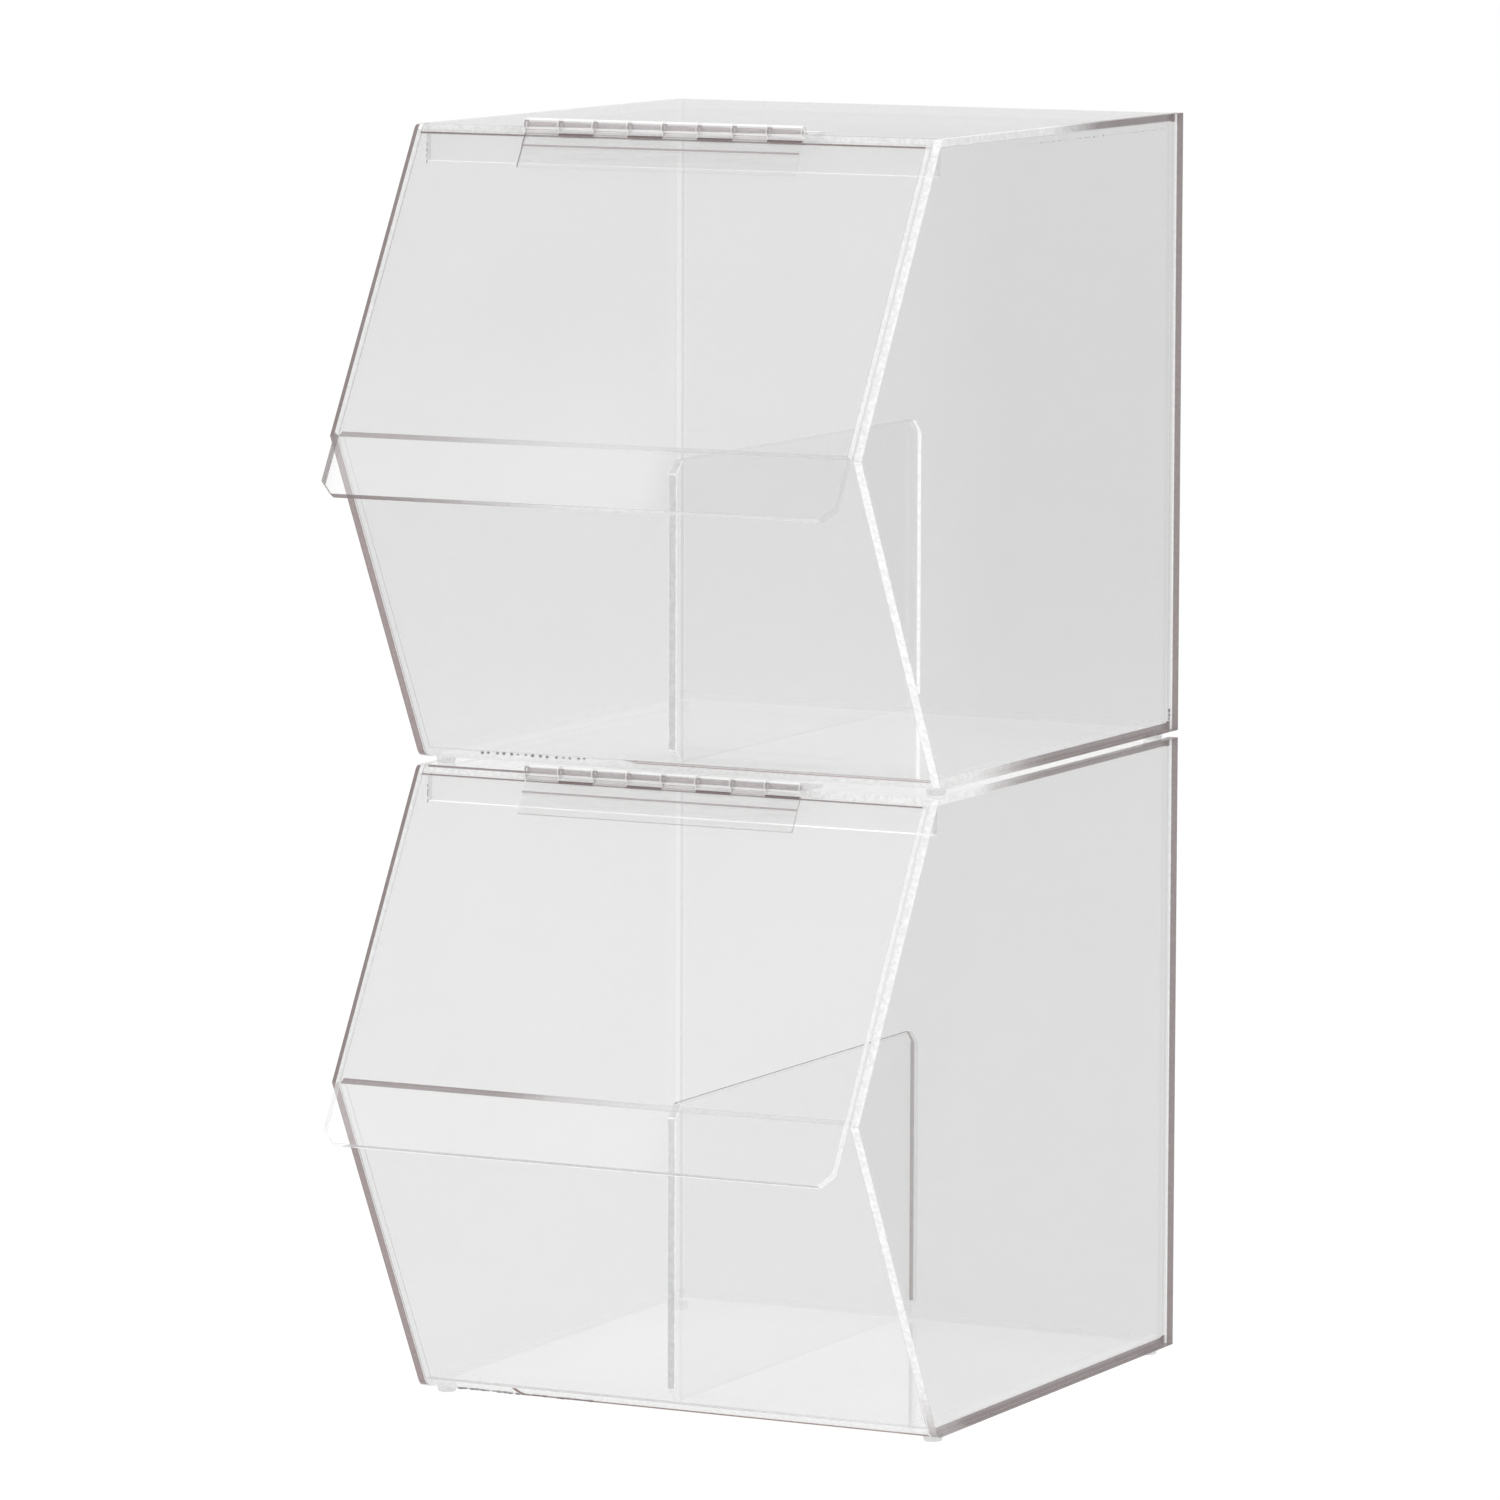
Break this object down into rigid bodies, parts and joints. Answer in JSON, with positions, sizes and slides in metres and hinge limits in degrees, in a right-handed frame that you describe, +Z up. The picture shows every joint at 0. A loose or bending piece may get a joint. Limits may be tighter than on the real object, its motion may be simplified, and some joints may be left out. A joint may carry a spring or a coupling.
{
  "type": "stacked ingredient bins",
  "caption": "Two clear plastic storage bins, one standing on the other, with slanted fronts, hinged lids with a lip, low dividers and small feet.",
  "frame": {"origin": "middle of the object's box in X and Y, at the underside of the lower feet", "axes": "+X to the right as seen from the front, +Y to the back, away from the lids, +Z up"},
  "size_m": [0.2794, 0.3758, 0.6213],
  "materials": {
    "clear_acrylic": "clear polished sheet with sawn and flame-polished edges",
    "hinge_plastic": "clear extruded plastic",
    "foot_plastic": "clear moulded plastic"
  },
  "bodies": {
    "lower_bin": {"lower_left_side_panel": "clear_acrylic", "lower_right_side_panel": "clear_acrylic", "lower_back_panel": "clear_acrylic", "lower_base_panel": "clear_acrylic", "lower_top_panel": "clear_acrylic", "lower_fascia": "clear_acrylic", "lower_front_panel": "clear_acrylic", "lower_divider": "clear_acrylic", "lower_hinge_top_leaf": "hinge_plastic", "lower_hinge_pin": "hinge_plastic", "lower_front_left_foot": "foot_plastic", "lower_front_right_foot": "foot_plastic", "lower_back_left_foot": "foot_plastic", "lower_back_right_foot": "foot_plastic"},
    "lower_lid": {"lower_lid": "clear_acrylic", "lower_hinge_lid_leaf": "hinge_plastic"},
    "upper_bin": {"upper_left_side_panel": "clear_acrylic", "upper_right_side_panel": "clear_acrylic", "upper_back_panel": "clear_acrylic", "upper_base_panel": "clear_acrylic", "upper_top_panel": "clear_acrylic", "upper_fascia": "clear_acrylic", "upper_front_panel": "clear_acrylic", "upper_divider": "clear_acrylic", "upper_hinge_top_leaf": "hinge_plastic", "upper_hinge_pin": "hinge_plastic", "upper_front_left_foot": "foot_plastic", "upper_front_right_foot": "foot_plastic", "upper_back_left_foot": "foot_plastic", "upper_back_right_foot": "foot_plastic"},
    "upper_lid": {"upper_lid": "clear_acrylic", "upper_hinge_lid_leaf": "hinge_plastic"}
  },
  "joints": [
    {"name": "upper_bin_lift", "type": "slide", "parent": "lower_bin", "child": "upper_bin", "axis": [0, 0, 1], "range_m": [0, 0.15]},
    {"name": "lower_lid_hinge", "type": "hinge", "parent": "lower_bin", "child": "lower_lid", "pos_m": [0, -0.09046, 0.30995], "axis": [-1, 0, 0], "range_deg": [0, 114]},
    {"name": "upper_lid_hinge", "type": "hinge", "parent": "upper_bin", "child": "upper_lid", "pos_m": [0, -0.09046, 0.61825], "axis": [-1, 0, 0], "range_deg": [0, 239]}
  ]
}
